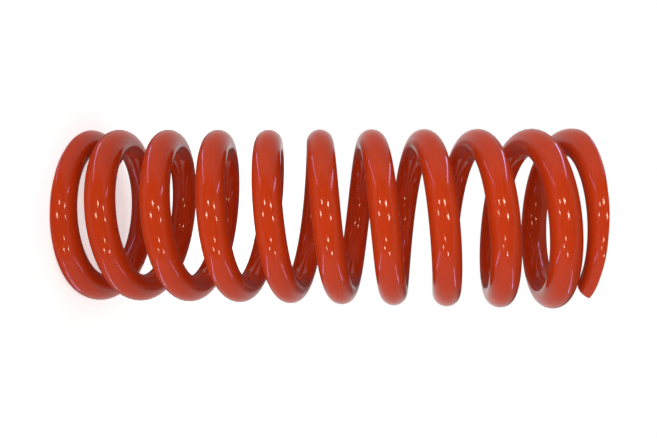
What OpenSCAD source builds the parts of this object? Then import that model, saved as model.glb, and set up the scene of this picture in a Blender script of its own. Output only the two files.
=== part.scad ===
// Suspension coil spring: one length of round wire wound right-handed, with both ends closed and ground flat.
// It stands on its lower ground end, with its axis along Z.

/* [Coil] */
// Clear diameter inside the coil
inner_d = 64.5; // [50:0.5:90]
// Diameter of the round wire
wire_d = 14; // [10:0.1:17]
// Unloaded height over the two ground ends
free_length = 254; // [200:1:320]
// Turns of wire from tip to tip
total_turns = 10.5; // [8:0.1:13]

/* [Ends] */
// Turns at each end that are wound closed
closed_turns = 0.94; // [0.8:0.01:1.5]
// Turns over which the pitch opens from closed to active
opening_turns = 0.26; // [0.2:0.01:1]
// How far the closed pitch exceeds the wire
closed_gap = 0.2; // [0.1:0.1:1]
// Thickness that grinding leaves at each wire tip
tip_thickness = 4.3; // [2:0.1:9]
// Direction of the lower wire tip about the axis
tip_direction = 147; // [0:1:359]

/* [Hidden] */
coat_colour = "#c23a17";
wire_facets = 48;
bend_facets = 96;
// One bend of the wire is a quarter circle
bend = 90;

mean_r = (inner_d + wire_d) / 2;
outer_d = inner_d + 2 * wire_d;
closed_pitch = wire_d + closed_gap;
// From the wire's middle to either tip
half_turns = total_turns / 2;
half_rise = (free_length + wire_d) / 2 - tip_thickness;
active_pitch = (half_rise - closed_pitch * closed_turns) / (half_turns - closed_turns);

// Pitch of the coil where the given angle is left to the wire's tip
function pitch_at(left) =
    let (share = (left / 360 - closed_turns) / opening_turns + 1 / 2)
    closed_pitch + (active_pitch - closed_pitch) * min(max(share, 0), 1);

// Slope of the wire where two quarter bends meet, in a coil of the pitch there
function lead_at(left) = atan(pitch_at(left) / (8 * mean_r));

// Angle about the coil's axis that a bend covers between slopes a and b
function sweep(a, b) = acos(-tan(a) * tan(b));

// Turn of a bend's plane about the wire, at the end with slope a, when its other end has slope b.
// The cosine is rounded to six figures, which keeps the ends of neighbouring bends alike.
function plane_turn(a, b) =
    let (turn = atan(tan(b) / (cos(a) * sin(sweep(a, b)))))
    acos(round(cos(turn) * 1e6) / 1e6);

// Radius of a bend that keeps the coil at its mean radius
function bend_r(a, b) = 2 * mean_r * tan(sweep(a, b) / 2) / (cos(a) + cos(b));

// Wire from here to its tip. Here it runs along +Y, and the coil's axis lies towards -X.
// Quarter bends follow each other, each in a plane turned about the wire so that the coil climbs.
// The section's circle starts on the side that is ground, so the wire's seam ends where the flat begins.
module wire(left) {
    a = lead_at(left);
    b = lead_at(left - bend);
    r = bend_r(a, b);
    whole = left > sweep(a, b);
    rotate([0, plane_turn(a, b), 0])
        translate([-r, 0, 0]) {
            rotate_extrude(angle = whole ? bend : bend * left / sweep(a, b), $fn = bend_facets)
                translate([r, 0])
                    rotate(90)
                        circle(d = wire_d, $fn = wire_facets);
            if (whole)
                rotate([0, 0, bend])
                    translate([r, 0, 0])
                        rotate([0, plane_turn(b, a), 0])
                            wire(left - sweep(a, b));
        }
}

// Both halves of the wire, from its middle out to the two tips
module wound_wire() {
    half_angle = 360 * half_turns;
    rotate([0, 0, tip_direction + half_angle])
        translate([mean_r, 0, free_length / 2])
            for (flip = [0, 180])
                rotate([flip, 0, 0])
                    rotate([lead_at(half_angle), 0, 0])
                        wire(half_angle);
}

// The wound wire between the two planes that its ends are ground to
module coil_spring() {
    stock_w = outer_d + 2 * wire_d;
    color(coat_colour)
        intersection() {
            wound_wire();
            translate([-stock_w / 2, -stock_w / 2, 0])
                cube([stock_w, stock_w, free_length]);
        }
}

coil_spring();
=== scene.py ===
import bpy
import numpy as np
from mathutils import Matrix, Vector


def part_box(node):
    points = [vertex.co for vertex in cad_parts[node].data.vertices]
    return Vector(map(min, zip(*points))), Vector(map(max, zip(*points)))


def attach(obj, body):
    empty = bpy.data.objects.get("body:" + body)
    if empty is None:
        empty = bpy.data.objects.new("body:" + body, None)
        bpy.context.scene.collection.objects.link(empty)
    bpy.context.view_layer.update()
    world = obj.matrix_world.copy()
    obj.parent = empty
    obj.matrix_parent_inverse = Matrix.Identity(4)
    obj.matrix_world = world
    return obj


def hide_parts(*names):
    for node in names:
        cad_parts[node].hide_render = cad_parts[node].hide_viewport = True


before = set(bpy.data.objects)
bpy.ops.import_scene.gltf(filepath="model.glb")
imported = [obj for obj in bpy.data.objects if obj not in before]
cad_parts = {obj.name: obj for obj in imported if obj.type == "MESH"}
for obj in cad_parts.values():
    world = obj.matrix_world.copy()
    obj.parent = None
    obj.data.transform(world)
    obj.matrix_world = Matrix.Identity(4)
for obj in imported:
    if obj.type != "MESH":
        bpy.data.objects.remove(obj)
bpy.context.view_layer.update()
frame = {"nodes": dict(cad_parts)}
bpy.context.scene.view_settings.view_transform = "Standard"
print("frame loaded:", ", ".join(frame["nodes"]))


def linearColour(hexColour):
    # sRGB to linear: a straight line near black, a power of 2.4 above it
    level = np.array([int(hexColour[i:i + 2], 16) for i in (1, 3, 5)]) / 255
    return (*np.where(level <= 0.04045, level / 12.92, ((level + 0.055) / 1.055) ** 2.4), 1.0)


def eased(value, start, end):
    # from 0 at start to 1 at end, level at both
    share = np.clip((value - start) / (end - start), 0, 1)
    return share ** 2 * (3 - 2 * share)


def emptyTree(owner):
    # the node tree of a new material or world, with nothing in it yet
    owner.use_nodes = True
    owner.node_tree.nodes.clear()
    return owner.node_tree


def addNode(nodeTree, kind, sockets=None, **settings):
    # one node with its settings; a socket takes a plain value, or another node's output as a link
    node = nodeTree.nodes.new(kind)
    for name, value in settings.items():
        setattr(node, name, value)
    for name, value in (sockets or {}).items():
        if isinstance(value, bpy.types.NodeSocket):
            nodeTree.links.new(value, node.inputs[name])
        else:
            node.inputs[name].default_value = value
    return node


def addMesh(name, vertices, faces, **pointValues):
    # one smooth object; each array of values is kept as an attribute of its points
    mesh = bpy.data.meshes.new(name)
    mesh.from_pydata(vertices.tolist(), [], faces)
    mesh.shade_smooth()
    for label, values in pointValues.items():
        attribute = mesh.attributes.new(label, "FLOAT", "POINT")
        attribute.data.foreach_set("value", values.ravel().astype(np.float32))
    piece = bpy.data.objects.new(name, mesh)
    bpy.context.scene.collection.objects.link(piece)
    return piece


def ringNumbers(rings, around):
    # for a stack of closed rings: the number of each point, of the next point round its ring, and the quads
    number = np.arange(rings * around).reshape(rings, around)
    following = np.roll(number, -1, axis=1)
    quads = np.stack([number[:-1], number[1:], following[1:], following[:-1]], -1).reshape(-1, 4)
    return number, following, quads.tolist()


# The coil's wire, in metres. Its length and outer size come from the CAD node's box.
springWire = {
    "wireDiameter": 0.014,
    "turns": 10.5,
    "closedTurns": 0.94,       # wound closed at each end
    "openingTurns": 0.62,      # over which the pitch opens
    "closedPitch": 0.0142,
    "tipThickness": 0.0043,    # what the grinding leaves of the wire at its tip
    "tipDirection": 147,       # of the lower tip, in degrees from +X
    "flatEdge": 0.0005,        # softness of the ground flat's edge
    "rubWidth": 0.0007,        # how far the thin coat reaches from that edge
    "tipEdge": 0.0008,         # rounding of the cut end of the wire
    "around": 112,             # points round the wire
    "perTurn": 62,             # rings in an active turn
    "perEndTurn": 104,         # rings in an end turn, where the flat runs out
    "endTurns": 1.25,          # turns at each end that have these closer rings
    "faceRings": (0.35, 0.7),  # rings on a tip's cut face, as shares of the way out
    "edgeRings": 6,            # rings on a tip's rounded edge
    "pathSteps": 20000,        # steps in which the climb is summed
}


def coilPath(turn, wire, low, high, coilRadius):
    # Centre of the wire: a circle round Z whose height is the running sum of the pitch.
    # The pitch is closed near both tips and eases to the active pitch that fills the free length.
    turns, closedTurns, closedPitch = wire["turns"], wire["closedTurns"], wire["closedPitch"]
    firstHeight = wire["tipThickness"] - wire["wireDiameter"] / 2
    activePitch = ((high - low) / 2 - firstHeight - closedPitch * closedTurns) / (turns / 2 - closedTurns)
    fine = np.linspace(0, turns, wire["pathSteps"] + 1)
    opening = wire["openingTurns"] / 2
    opened = eased(np.minimum(fine, turns - fine), closedTurns - opening, closedTurns + opening)
    pitch = closedPitch + (activePitch - closedPitch) * opened
    climbed = np.concatenate([[0], np.cumsum((pitch[1:] + pitch[:-1]) / 2 * np.diff(fine))])
    height = low + firstHeight + np.interp(turn, fine, climbed)
    angle = np.radians(wire["tipDirection"]) + 2 * np.pi * turn
    lead = np.arctan(np.interp(turn, fine, pitch) / (2 * np.pi * coilRadius))
    outward = np.stack([np.cos(angle), np.sin(angle), 0 * angle], 1)
    centre = coilRadius * outward + height[:, None] * [0, 0, 1]
    along = np.stack([-np.sin(angle) * np.cos(lead), np.cos(angle) * np.cos(lead), np.sin(lead)], 1)
    return centre, outward, along, np.cross(outward, along)


def coilSurface(wire, low, high, coilRadius):
    # A round section carried along the coil. Each point of a ring lies in a direction from a centre inside
    # the section, at the nearer of the circle and the grinding plane, with a soft minimum of the two.
    wireRadius, edge = wire["wireDiameter"] / 2, wire["tipEdge"]
    turns, endTurns = wire["turns"], wire["endTurns"]
    endRings, midRings = int(endTurns * wire["perEndTurn"]), int((turns - 2 * endTurns) * wire["perTurn"])
    start = edge / (2 * np.pi * coilRadius)
    end = turns - start
    body = np.concatenate([
        np.linspace(start, endTurns, endRings, endpoint=False),
        np.linspace(endTurns, turns - endTurns, midRings),
        np.linspace(turns - endTurns, end, endRings + 1)[1:],
    ])
    # rings of a tip, from its middle out: the cut face, then a quarter round back to the wire
    roundOff = np.linspace(np.pi / 2, 0, wire["edgeRings"], endpoint=False)
    lean = np.concatenate([np.full(len(wire["faceRings"]), np.pi / 2), roundOff])
    fill = np.concatenate([wire["faceRings"], np.ones(len(roundOff))])
    inset, ahead = edge * (1 - np.cos(lean)), edge * np.sin(lean)
    turn = np.concatenate([np.full(len(fill), start), body, np.full(len(fill), end)])
    fill = np.concatenate([fill, np.ones(len(body)), fill[::-1]])[:, None]
    inset = np.concatenate([inset, np.zeros(len(body)), inset[::-1]])[:, None]
    ahead = np.concatenate([-ahead, np.zeros(len(body)), ahead[::-1]])[:, None]

    centre, outward, along, upward = coilPath(turn, wire, low, high, coilRadius)
    centre = centre + along * ahead
    # the plane of the nearer end, measured across the section; side is -1 at the upper end
    side = np.where(turn < turns / 2, 1.0, -1.0)[:, None]
    cut = np.maximum(low - centre[:, 2:], centre[:, 2:] - high) / upward[:, 2:]
    middle = np.maximum(0, (cut + wireRadius) / 2)
    angle = np.linspace(0, 2 * np.pi, wire["around"], endpoint=False)[None, :]
    outShare, upShare = np.cos(angle), np.sin(angle)
    toCircle = np.sqrt(wireRadius ** 2 - (middle * outShare) ** 2) - middle * side * upShare
    # a direction that runs away from the plane never meets it, so its reach stops at farAway
    farAway, tiny = 1.0, 1e-9
    toPlane = np.minimum((middle - cut) / np.maximum(-side * upShare, tiny), farAway)
    reach = (toCircle + toPlane - np.sqrt((toCircle - toPlane) ** 2 + wire["flatEdge"] ** 2)) / 2
    reach = (reach - inset) * fill
    across, up = reach * outShare, side * middle + reach * upShare
    points = centre[:, None] + across[..., None] * outward[:, None] + up[..., None] * upward[:, None]

    # a point in the middle of each cut face closes the wire
    number, following, quads = ringNumbers(*across.shape)
    tips = [0, -1]
    poles = centre[tips] + (side * middle)[tips] * upward[tips]
    lower = np.stack([np.full_like(number[0], number.size), number[0], following[0]], -1)
    upper = np.stack([np.full_like(number[0], number.size + 1), following[-1], number[-1]], -1)
    vertices = np.concatenate([points.reshape(-1, 3), poles])
    # how near a point is to the flat's edge, where the coat is thinnest
    rub = np.exp(-((toCircle - toPlane) / wire["rubWidth"]) ** 2) * (cut > -wireRadius) * (fill == 1)
    return vertices, quads + lower.tolist() + upper.tolist(), np.append(rub.ravel(), [0, 0])


low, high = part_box("coil_spring")
coilMiddle = (low + high) / 2
coilRadius = min(high.x, -low.x, high.y, -low.y) - springWire["wireDiameter"] / 2
vertices, faces, rub = coilSurface(springWire, low.z, high.z, coilRadius)
spring = addMesh("coil_spring_wire", vertices, faces, edgeRub=rub)
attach(spring, "root")
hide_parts("coil_spring")
print("wire:", len(vertices), "points,", len(faces), "faces, coil radius",
      round(coilRadius * 1000, 2), "mm")

# Gloss polyester powder coat, sprayed on dry and baked: one even orange red, a clear mirror-like shine,
# and the faint orange peel that powder leaves as it flows.
powderCoat = {
    "colour": "#c53b11",
    "deepColour": "#bb350f",   # where the coat lies a little thicker
    "edgeColour": "#cf5530",   # where it is thin over a ground edge
    "patch": 0.022,            # size of the slow colour change
    "patchDetail": 3.0,        # how many finer changes lie in it
    "patchRoughness": 0.55,    # and how strong they are
    "patchRange": (0.3, 0.7),  # the part of its noise that changes the gloss
    "peel": 0.0022,            # from crest to crest of the orange peel
    "peelDetail": 1.0,
    "peelRoughness": 0.4,
    "peelDepth": 0.000003,
    "gloss": 0.09,             # roughness of the shine
    "glossChange": 0.03,
    "ior": 1.5,                # of polyester
}


def makePowderCoat(coat):
    material = bpy.data.materials.new("gloss_powder_coat")
    tree = emptyTree(material)
    place = addNode(tree, "ShaderNodeTexCoord").outputs["Object"]
    edge = addNode(tree, "ShaderNodeAttribute", attribute_name="edgeRub").outputs["Fac"]
    patches = addNode(tree, "ShaderNodeTexNoise", {
        "Vector": place, "Scale": 1 / coat["patch"], "Detail": coat["patchDetail"],
        "Roughness": coat["patchRoughness"]}).outputs["Fac"]
    # a Mix node's colour sockets are 6 and 7, and its colour comes out of 2
    body = addNode(tree, "ShaderNodeMix", {
        0: patches, 6: linearColour(coat["colour"]), 7: linearColour(coat["deepColour"])}, data_type="RGBA")
    worn = addNode(tree, "ShaderNodeMix", {
        0: edge, 6: body.outputs[2], 7: linearColour(coat["edgeColour"])}, data_type="RGBA")
    shine = addNode(tree, "ShaderNodeMapRange", {
        "Value": patches, "From Min": coat["patchRange"][0], "From Max": coat["patchRange"][1],
        "To Min": coat["gloss"], "To Max": coat["gloss"] + coat["glossChange"]})
    peel = addNode(tree, "ShaderNodeTexNoise", {
        "Vector": place, "Scale": 1 / coat["peel"], "Detail": coat["peelDetail"],
        "Roughness": coat["peelRoughness"]}).outputs["Fac"]
    relief = addNode(tree, "ShaderNodeBump", {
        "Height": peel, "Distance": coat["peelDepth"], "Strength": 1.0})
    shader = addNode(tree, "ShaderNodeBsdfPrincipled", {
        "Base Color": worn.outputs[2], "Roughness": shine.outputs["Result"], "IOR": coat["ior"],
        "Normal": relief.outputs["Normal"]})
    addNode(tree, "ShaderNodeOutputMaterial", {"Surface": shader.outputs["BSDF"]})
    return material


spring.data.materials.append(makePowderCoat(powderCoat))
print("coat:", powderCoat["colour"], "with peel of", powderCoat["peel"] * 1000, "mm")

# Floor, backdrop, tent and card. The backdrop is the world, white to the eye and dim as a lamp.
# The tent is a round screen that glows and only shows in the shine; its glow is painted light: black behind
# the camera, grey farther round and white behind the coil, but dark beside the coil's two ends.
# The card, close behind the coil, glows dimly and only shows in the shine too: painted shade that keeps the
# reflections on the inner faces deep.
studioSet = {
    "floorSize": 8.0,
    "floorDrop": 0.0002,        # below the coil, so that no two faces share a plane
    "floorColour": "#f2f1ef",
    "floorGlow": (0.53, 1.0),   # of white, to the camera: near the coil, and far off
    "floorFar": (0.12, 0.7),    # distances between which the glow grows
    "fill": 0.02,               # light from all around
    "backdrop": 1.0,
    "tentRadius": 0.9,
    "tentGrid": (61, 96),       # rings, and points in each
    "tentBlack": 0.045,         # brightness
    "tentGrey": 0.36,
    "tentWhite": 0.74,
    "greyFrom": (44, 62),       # degrees from behind the camera over which black turns grey
    "whiteFrom": (88, 180),     # and grey turns white
    "endsFrom": (52, 95),       # beside the coil's two ends it darkens over these degrees
    "endsTo": (150, 180),       # and grows pale again over these
    "endsWidth": (0.35, 0.75),  # edges of that darker part, as squared sines of the angle round
    "endsLoss": 0.93,           # how much of its paleness it loses there
    "cardWidth": 0.080,         # across the coil
    "cardAway": 0.090,          # behind the coil's axis
    "cardShade": 0.08,          # brightness
}


def seenRays(tree):
    # 1 for rays of the camera, of the shine and through glass, and 0 for rays that only carry light
    ray = addNode(tree, "ShaderNodeLightPath").outputs
    eye = addNode(tree, "ShaderNodeMath", {0: ray["Is Camera Ray"], 1: ray["Is Glossy Ray"]},
                  operation="MAXIMUM")
    return addNode(tree, "ShaderNodeMath", {0: eye.outputs[0], 1: ray["Is Transmission Ray"]},
                   operation="MAXIMUM").outputs[0]


plainWhite = (1, 1, 1, 1)
half = studioSet["floorSize"] / 2
corners = np.array([[-half, -half, 0], [half, -half, 0], [half, half, 0], [-half, half, 0]])
floor = addMesh("floor", corners + [0, 0, low.z - studioSet["floorDrop"]], [[0, 1, 2, 3]])
floorPaint = bpy.data.materials.new("matt_white_floor")
tree = emptyTree(floorPaint)
place = addNode(tree, "ShaderNodeTexCoord").outputs["Object"]
away = addNode(tree, "ShaderNodeVectorMath", {0: place}, operation="LENGTH").outputs["Value"]
level = addNode(tree, "ShaderNodeMapRange", {
    "Value": away, "From Min": studioSet["floorFar"][0], "From Max": studioSet["floorFar"][1],
    "To Min": studioSet["floorGlow"][0], "To Max": studioSet["floorGlow"][1]}).outputs["Result"]
strength = addNode(tree, "ShaderNodeMath", {0: seenRays(tree), 1: level}, operation="MULTIPLY").outputs[0]
glow = addNode(tree, "ShaderNodeEmission", {"Color": plainWhite, "Strength": strength})
paint = addNode(tree, "ShaderNodeBsdfDiffuse", {"Color": linearColour(studioSet["floorColour"])})
both = addNode(tree, "ShaderNodeAddShader", {0: glow.outputs[0], 1: paint.outputs[0]})
addNode(tree, "ShaderNodeOutputMaterial", {"Surface": both.outputs[0]})
floor.data.materials.append(floorPaint)
floor.visible_shadow = floor.visible_glossy = False

world = bpy.data.worlds.new("white_backdrop")
tree = emptyTree(world)
dim = addNode(tree, "ShaderNodeBackground", {"Color": plainWhite, "Strength": studioSet["fill"]})
bright = addNode(tree, "ShaderNodeBackground", {"Color": plainWhite, "Strength": studioSet["backdrop"]})
sky = addNode(tree, "ShaderNodeMixShader", {0: seenRays(tree), 1: dim.outputs[0], 2: bright.outputs[0]})
addNode(tree, "ShaderNodeOutputWorld", {"Surface": sky.outputs[0]})
bpy.context.scene.world = world

# a sphere: swing is the angle from behind the camera, spin goes round that axis, from +X towards +Z
swing = np.linspace(0, np.pi, studioSet["tentGrid"][0])[:, None]
spin = np.linspace(0, 2 * np.pi, studioSet["tentGrid"][1], endpoint=False)[None, :]
dome = np.broadcast_arrays(np.sin(swing) * np.cos(spin), -np.cos(swing), np.sin(swing) * np.sin(spin))
dome = studioSet["tentRadius"] * np.stack(dome, -1).reshape(-1, 3) + [0, 0, coilMiddle.z]
# the tent's glow is painted light: dark behind the camera, pale farther round, dim again beside the coil's
# ends
degrees = np.degrees(swing)
besideEnds = eased(np.sin(spin) ** 2, *studioSet["endsWidth"]) * eased(degrees, *studioSet["endsFrom"])
besideEnds = besideEnds * (1 - eased(degrees, *studioSet["endsTo"]))
black, grey, white = studioSet["tentBlack"], studioSet["tentGrey"], studioSet["tentWhite"]
pale = (grey - black) * eased(degrees, *studioSet["greyFrom"])
pale = pale + (white - grey) * eased(degrees, *studioSet["whiteFrom"])
shade = black + pale * (1 - studioSet["endsLoss"] * besideEnds)
tent = addMesh("cloth_tent", dome, ringNumbers(*shade.shape)[2], shade=shade)

# the card's dim glow is painted shade in the reflections of the inner faces
half = studioSet["cardWidth"] / 2
corners = np.array([[-half, 0, low.z], [half, 0, low.z], [half, 0, high.z], [-half, 0, high.z]])
card = addMesh("dark_card", corners + [0, studioSet["cardAway"], 0], [[0, 1, 2, 3]],
               shade=np.full(4, studioSet["cardShade"]))

# a screen that glows as bright as its point's shade, with no shine of its own: painted light, seen only in
# the coil's shine
glowingScreen = bpy.data.materials.new("glowing_screen")
tree = emptyTree(glowingScreen)
brightness = addNode(tree, "ShaderNodeAttribute", attribute_name="shade").outputs["Fac"]
lit = addNode(tree, "ShaderNodeEmission", {"Color": plainWhite, "Strength": brightness})
addNode(tree, "ShaderNodeOutputMaterial", {"Surface": lit.outputs[0]})
for screen in (tent, card):
    screen.data.materials.append(glowingScreen)
    screen.visible_camera = screen.visible_diffuse = False
    screen.visible_shadow = screen.visible_transmission = False
print("set: floor, tent and card")

# Lamps that the camera doesn't see. Seven small warm ones stand round the camera and light the near side
# of the coil; four long violet-white tubes run front to back at the corners of the set.
# Six soft panels all round give the even light, and don't show in the shine.
studioLamps = {
    "smallPlaces": (
        (-0.060, -0.230, 0.060), (-0.055, -0.195, 0.205), (0.000, -0.220, 0.000), (-0.005, -0.200, 0.250),
        (0.125, -0.255, 0.140), (0.220, -0.275, 0.055), (0.195, -0.215, 0.215)),
    "smallSize": (0.036, 0.017),
    "smallPower": 0.036,
    "smallColour": "#fff2dc",
    "tubeEnds": (               # front and rear
        ((0.215, -0.140, -0.060), (0.370, 0.090, -0.230)),
        ((0.290, -0.140, 0.410), (0.335, 0.085, 0.445)),
        ((-0.145, -0.200, -0.055), (-0.300, 0.050, -0.230)),
        ((-0.115, -0.100, 0.285), (-0.215, 0.050, 0.410))),
    "tubeWidth": 0.018,
    "tubePower": 0.10,
    "tubeColour": "#c4bcff",
    "panels": (                 # place and power: two beside the coil, one in front, two behind, one above
        ((0.55, -0.24, 0.10), 2.0), ((-0.55, -0.24, 0.10), 1.9), ((0.0, -0.62, 0.15), 1.0),
        ((0.30, 0.52, 0.15), 1.8), ((-0.30, 0.52, 0.15), 1.8), ((0.0, 0.05, 1.00), 2.2)),
    "panelSize": (0.8, 0.7),
    "panelUpright": (0, 0.1, 1),   # leans a little, because one panel hangs straight above
    "panelColour": "#ffffff",
}


def addLamp(name, shape, place, length, width, lengthwise, power, colour):
    # an area lamp at place that faces the coil, with its long side as near lengthwise as that allows
    back = (place - coilMiddle).normalized()
    sideways = back.cross(lengthwise).normalized()
    light = bpy.data.lights.new(name, "AREA")
    light.shape = shape
    light.size, light.size_y = length, width
    light.energy, light.color = power, linearColour(colour)[:3]
    lamp = bpy.data.objects.new(name, light)
    lamp.matrix_world = Matrix((sideways.cross(back), sideways, back)).transposed().to_4x4()
    lamp.location = place
    lamp.visible_camera = False
    bpy.context.scene.collection.objects.link(lamp)
    return lamp


for i, place in enumerate(studioLamps["smallPlaces"]):
    addLamp(f"small_lamp_{i}", "ELLIPSE", Vector(place), *studioLamps["smallSize"], Vector((0, 0, 1)),
            studioLamps["smallPower"], studioLamps["smallColour"])
for i, (front, rear) in enumerate(studioLamps["tubeEnds"]):
    run = Vector(rear) - Vector(front)
    addLamp(f"tube_{i}", "RECTANGLE", (Vector(front) + Vector(rear)) / 2, run.length,
            studioLamps["tubeWidth"], run, studioLamps["tubePower"], studioLamps["tubeColour"])
for i, (place, power) in enumerate(studioLamps["panels"]):
    panel = addLamp(f"panel_{i}", "ELLIPSE", Vector(place), *studioLamps["panelSize"],
                    Vector(studioLamps["panelUpright"]), power, studioLamps["panelColour"])
    panel.visible_glossy = False
print("lamps:", len(studioLamps["smallPlaces"]), "small,", len(studioLamps["tubeEnds"]), "tubes,",
      len(studioLamps["panels"]), "panels")

# The camera lies on its side, so that the standing coil runs across the picture.
photoCamera = {
    "lens": 29.9,
    "place": (0.0034, -0.2916, 0.1480),
    "forward": (-0.0075, 0.9976, -0.0688),
    "right": (-0.0089, 0.0688, 0.9976),
    "nearest": 0.01,            # nothing nearer than this is drawn
}
camera = bpy.data.objects.new("photo_camera", bpy.data.cameras.new("photo_camera"))
camera.data.lens = photoCamera["lens"]
camera.data.clip_start = photoCamera["nearest"]
forward = Vector(photoCamera["forward"]).normalized()
upright = Vector(photoCamera["right"]).cross(forward).normalized()
camera.matrix_world = Matrix((forward.cross(upright), upright, -forward)).transposed().to_4x4()
camera.location = photoCamera["place"]
bpy.context.scene.collection.objects.link(camera)
bpy.context.scene.camera = camera
print("camera:", photoCamera["lens"], "mm lens")

bpy.context.view_layer.update()
